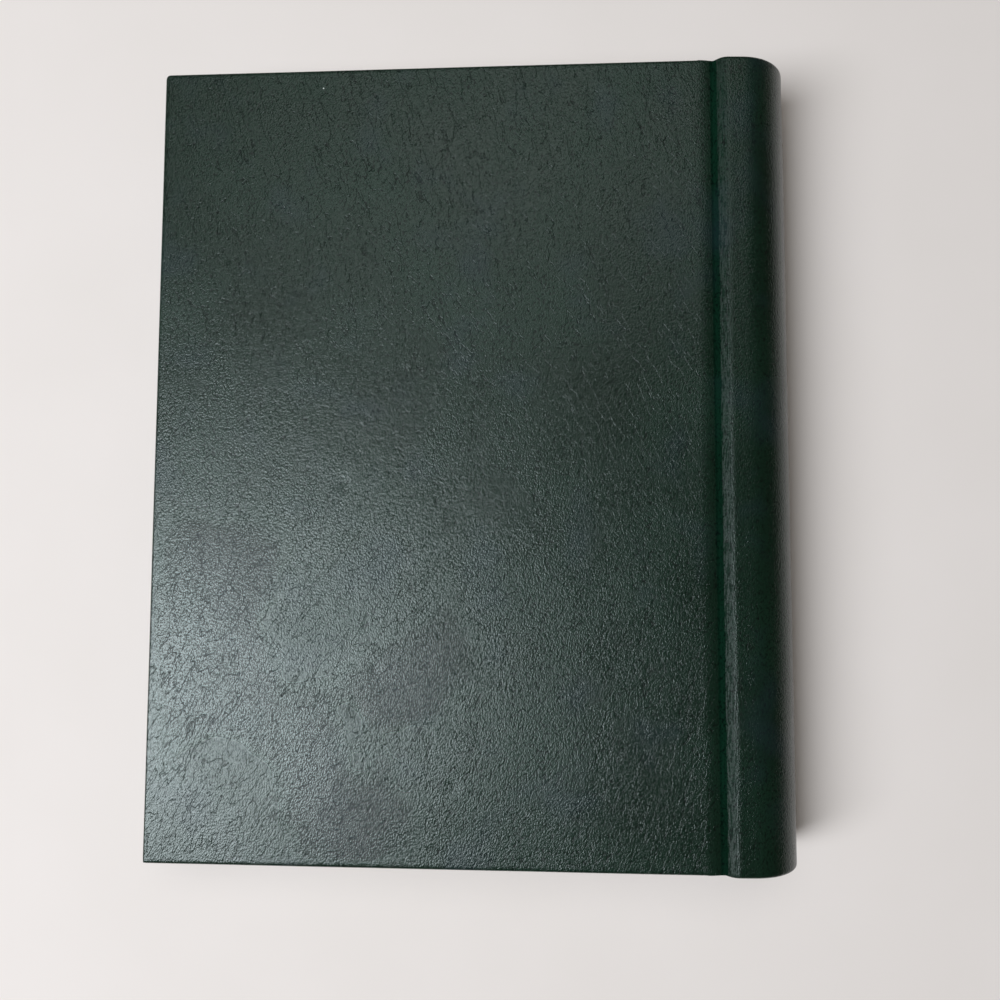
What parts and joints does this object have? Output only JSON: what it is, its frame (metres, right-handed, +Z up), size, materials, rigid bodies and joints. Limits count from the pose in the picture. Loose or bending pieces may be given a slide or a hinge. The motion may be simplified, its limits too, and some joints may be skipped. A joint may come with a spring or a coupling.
{
  "type": "address book",
  "caption": "Closed loose-leaf address book: grained green leather-covered boards, a rounded hollow spine, a ring mechanism and tabbed sheets inside.",
  "frame": {"origin": "on the table under the middle of the closed book's box", "axes": "+X to the outside of the spine, +Y to the head of the book, +Z up through the back cover"},
  "size_m": [0.184, 0.229, 0.03],
  "materials": {
    "leather": "satin",
    "board": "matte",
    "lining": "matte",
    "sheets": "matte",
    "tabs": "satin",
    "nickel_steel": "polished"
  },
  "bodies": {
    "spine": {"spine_board": "board", "spine_leather": "leather", "spine_lining": "lining", "pages": "sheets", "index_tabs": "tabs", "ring_plate": "nickel_steel", "plate_rivets": "nickel_steel", "head_lever_pin": "nickel_steel", "tail_lever_pin": "nickel_steel"},
    "back_cover": {"back_cover_board": "board", "back_cover_leather": "leather", "back_cover_lining": "lining"},
    "front_cover": {"front_cover_board": "board", "front_cover_leather": "leather", "front_cover_lining": "lining"},
    "upper_rings": {"upper_blade": "nickel_steel", "upper_ring_head": "nickel_steel", "upper_ring_middle": "nickel_steel", "upper_ring_tail": "nickel_steel"},
    "lower_rings": {"lower_blade": "nickel_steel", "lower_ring_head": "nickel_steel", "lower_ring_middle": "nickel_steel", "lower_ring_tail": "nickel_steel"},
    "head_lever": {"head_lever": "nickel_steel"},
    "tail_lever": {"tail_lever": "nickel_steel"}
  },
  "joints": [
    {"name": "back_cover_hinge", "type": "hinge", "parent": "spine", "child": "back_cover", "pos_m": [0.0662, 0, 0.02745], "axis": [0, 1, 0], "range_deg": [0, 140]},
    {"name": "front_cover_hinge", "type": "hinge", "parent": "spine", "child": "front_cover", "pos_m": [0.0662, 0, 0.00255], "axis": [0, -1, 0], "range_deg": [0, 140]},
    {"name": "upper_ring_pivot", "type": "hinge", "parent": "spine", "child": "upper_rings", "pos_m": [0.085, 0, 0.022], "axis": [0, 1, 0], "range_deg": [0, 7]},
    {"name": "lower_ring_pivot", "type": "hinge", "parent": "spine", "child": "lower_rings", "pos_m": [0.085, 0, 0.008], "axis": [0, -1, 0], "range_deg": [0, 7]},
    {"name": "head_lever_pivot", "type": "hinge", "parent": "spine", "child": "head_lever", "pos_m": [0.0848, 0.098, 0.015], "axis": [0, 0, -1], "range_deg": [0, 30]},
    {"name": "tail_lever_pivot", "type": "hinge", "parent": "spine", "child": "tail_lever", "pos_m": [0.0848, -0.098, 0.015], "axis": [0, 0, 1], "range_deg": [0, 30]}
  ],
  "couplings": [
    {"joint": "lower_ring_pivot", "follows": "upper_ring_pivot", "ratio": 1},
    {"joint": "head_lever_pivot", "follows": "upper_ring_pivot", "ratio": 4.28},
    {"joint": "tail_lever_pivot", "follows": "upper_ring_pivot", "ratio": 4.28}
  ]
}
